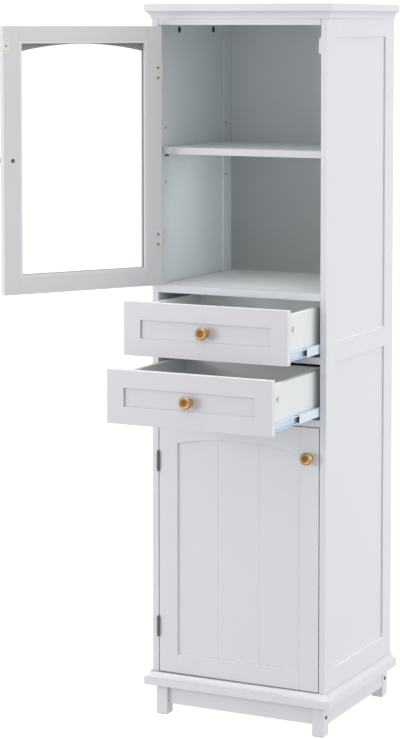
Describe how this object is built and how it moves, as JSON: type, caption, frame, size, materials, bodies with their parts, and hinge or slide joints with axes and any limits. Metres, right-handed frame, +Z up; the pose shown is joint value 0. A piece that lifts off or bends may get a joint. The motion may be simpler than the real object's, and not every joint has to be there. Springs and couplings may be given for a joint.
{
  "type": "tall bathroom cabinet",
  "caption": "Tall narrow cabinet with an arched glazed door over shelves, drawers on slides and a grooved panel door below, on a moulded plinth with square legs.",
  "frame": {"origin": "on the floor, under the middle of the carcass (body width and depth, without mouldings, doors or drawers)", "axes": "+Z up, -Y out of the front, +X towards the right-hand side seen from the front"},
  "size_m": [0.6331, 0.7201, 1.587],
  "materials": {
    "white_paint": "smooth satin white paint",
    "white_board": "smooth satin white board",
    "antique_brass": "polished warm brass",
    "nickel_hinge": "satin nickel plate",
    "zinc_slide": "bluish zinc plate",
    "fixing_steel": "dull zinc-plated steel",
    "catch_plastic": "moulded white plastic",
    "clear_glass": "clear float glass"
  },
  "bodies": {
    "carcass": {"adjustable_shelf": "white_board", "back_panels": "white_board", "bottom_board": "white_board", "cabinet_slide_members": "zinc_slide", "cam_locks": "fixing_steel", "compartment_floor": "white_board", "cross_aprons": "white_paint", "crown_moulding": "white_paint", "drawer_deck": "white_board", "drawer_divider_rail": "white_paint", "head_rail": "white_paint", "hinge_frame_leaves": "nickel_hinge", "hinge_frame_screws": "nickel_hinge", "hinge_pins": "nickel_hinge", "left_side_rails": "white_paint", "left_side_stiles": "white_paint", "leg_screws": "fixing_steel", "legs": "white_paint", "lower_shelf": "white_board", "magnetic_catches": "catch_plastic", "plinth_board": "white_paint", "plinth_moulding": "white_paint", "right_side_rails": "white_paint", "right_side_stiles": "white_paint", "shelf_pins": "nickel_hinge", "side_aprons": "white_paint", "side_panels": "white_paint", "top_board": "white_paint"},
    "upper_door": {"glazing_beads": "white_paint", "upper_door_bottom_rail": "white_paint", "upper_door_glass": "clear_glass", "upper_door_hinge_leaves": "nickel_hinge", "upper_door_knob": "antique_brass", "upper_door_screws": "nickel_hinge", "upper_door_stiles": "white_paint", "upper_door_strike_plate": "fixing_steel", "upper_door_top_rail": "white_paint"},
    "lower_door": {"lower_door_bottom_rail": "white_paint", "lower_door_hinge_leaves": "nickel_hinge", "lower_door_knob": "antique_brass", "lower_door_panel": "white_paint", "lower_door_screws": "nickel_hinge", "lower_door_stiles": "white_paint", "lower_door_strike_plate": "fixing_steel", "lower_door_top_rail": "white_paint"},
    "upper_drawer": {"upper_drawer_bottom": "white_board", "upper_drawer_box": "white_board", "upper_drawer_fixings": "fixing_steel", "upper_drawer_front": "white_paint", "upper_drawer_knob": "antique_brass", "upper_drawer_slide_members": "zinc_slide"},
    "lower_drawer": {"lower_drawer_bottom": "white_board", "lower_drawer_box": "white_board", "lower_drawer_fixings": "fixing_steel", "lower_drawer_front": "white_paint", "lower_drawer_knob": "antique_brass", "lower_drawer_slide_members": "zinc_slide"},
    "upper_slide_middle": {"upper_drawer_middle_members": "zinc_slide"},
    "lower_slide_middle": {"lower_drawer_middle_members": "zinc_slide"}
  },
  "joints": [
    {"name": "upper_door_hinge", "type": "hinge", "parent": "carcass", "child": "upper_door", "pos_m": [-0.194, -0.1925, 1.2545], "axis": [0, 0, -1], "range_deg": [-122, 43]},
    {"name": "lower_door_hinge", "type": "hinge", "parent": "carcass", "child": "lower_door", "pos_m": [-0.194, -0.1925, 0.3895], "axis": [0, 0, -1], "range_deg": [0, 165]},
    {"name": "upper_drawer_slide", "type": "slide", "parent": "carcass", "child": "upper_drawer", "axis": [0, -1, 0], "range_m": [-0.164, 0.136]},
    {"name": "lower_drawer_slide", "type": "slide", "parent": "carcass", "child": "lower_drawer", "axis": [0, -1, 0], "range_m": [-0.24, 0.06]},
    {"name": "upper_middle_slide", "type": "slide", "parent": "carcass", "child": "upper_slide_middle", "axis": [0, -1, 0], "range_m": [-0.082, 0.068]},
    {"name": "lower_middle_slide", "type": "slide", "parent": "carcass", "child": "lower_slide_middle", "axis": [0, -1, 0], "range_m": [-0.12, 0.03]}
  ],
  "couplings": [
    {"joint": "upper_middle_slide", "follows": "upper_drawer_slide", "ratio": 0.5},
    {"joint": "lower_middle_slide", "follows": "lower_drawer_slide", "ratio": 0.5}
  ]
}
